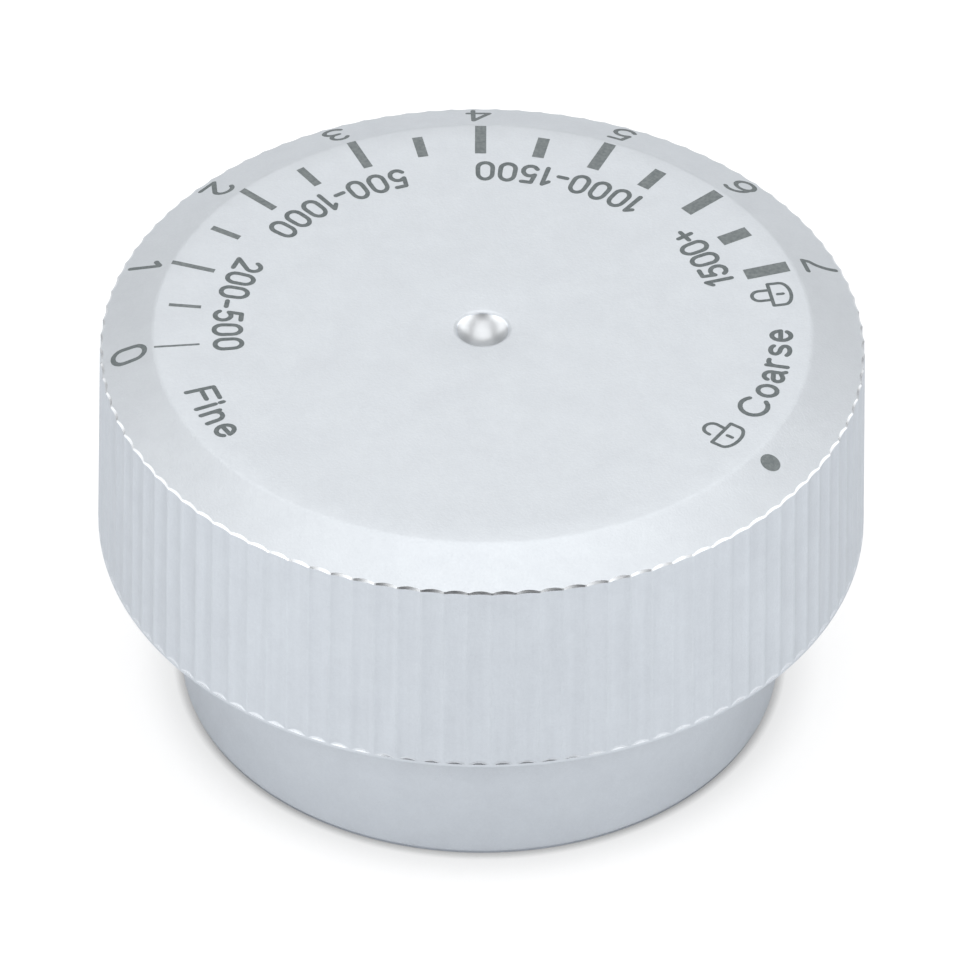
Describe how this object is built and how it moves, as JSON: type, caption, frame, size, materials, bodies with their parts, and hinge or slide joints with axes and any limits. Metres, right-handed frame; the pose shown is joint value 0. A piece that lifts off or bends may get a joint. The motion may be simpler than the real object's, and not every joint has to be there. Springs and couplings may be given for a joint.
{
  "type": "grinder knob",
  "caption": "Round turned aluminium adjusting knob with a finely fluted, slightly tapered grip, a numbered top, a plain collar and a hollow underside with a threaded hub.",
  "frame": {"origin": "centre of the collar's foot, where the knob stands", "axes": "+Z along the knob's axis towards its marked top, -Y towards the front, where the top's marks are read from"},
  "size_m": [0.061, 0.061, 0.0338],
  "materials": {
    "satin_aluminium": "fine bead-blasted and clear anodised, with bright-cut edges and dimple and grey laser marks"
  },
  "bodies": {
    "root": {"knob_body": "satin_aluminium"}
  },
  "joints": []
}
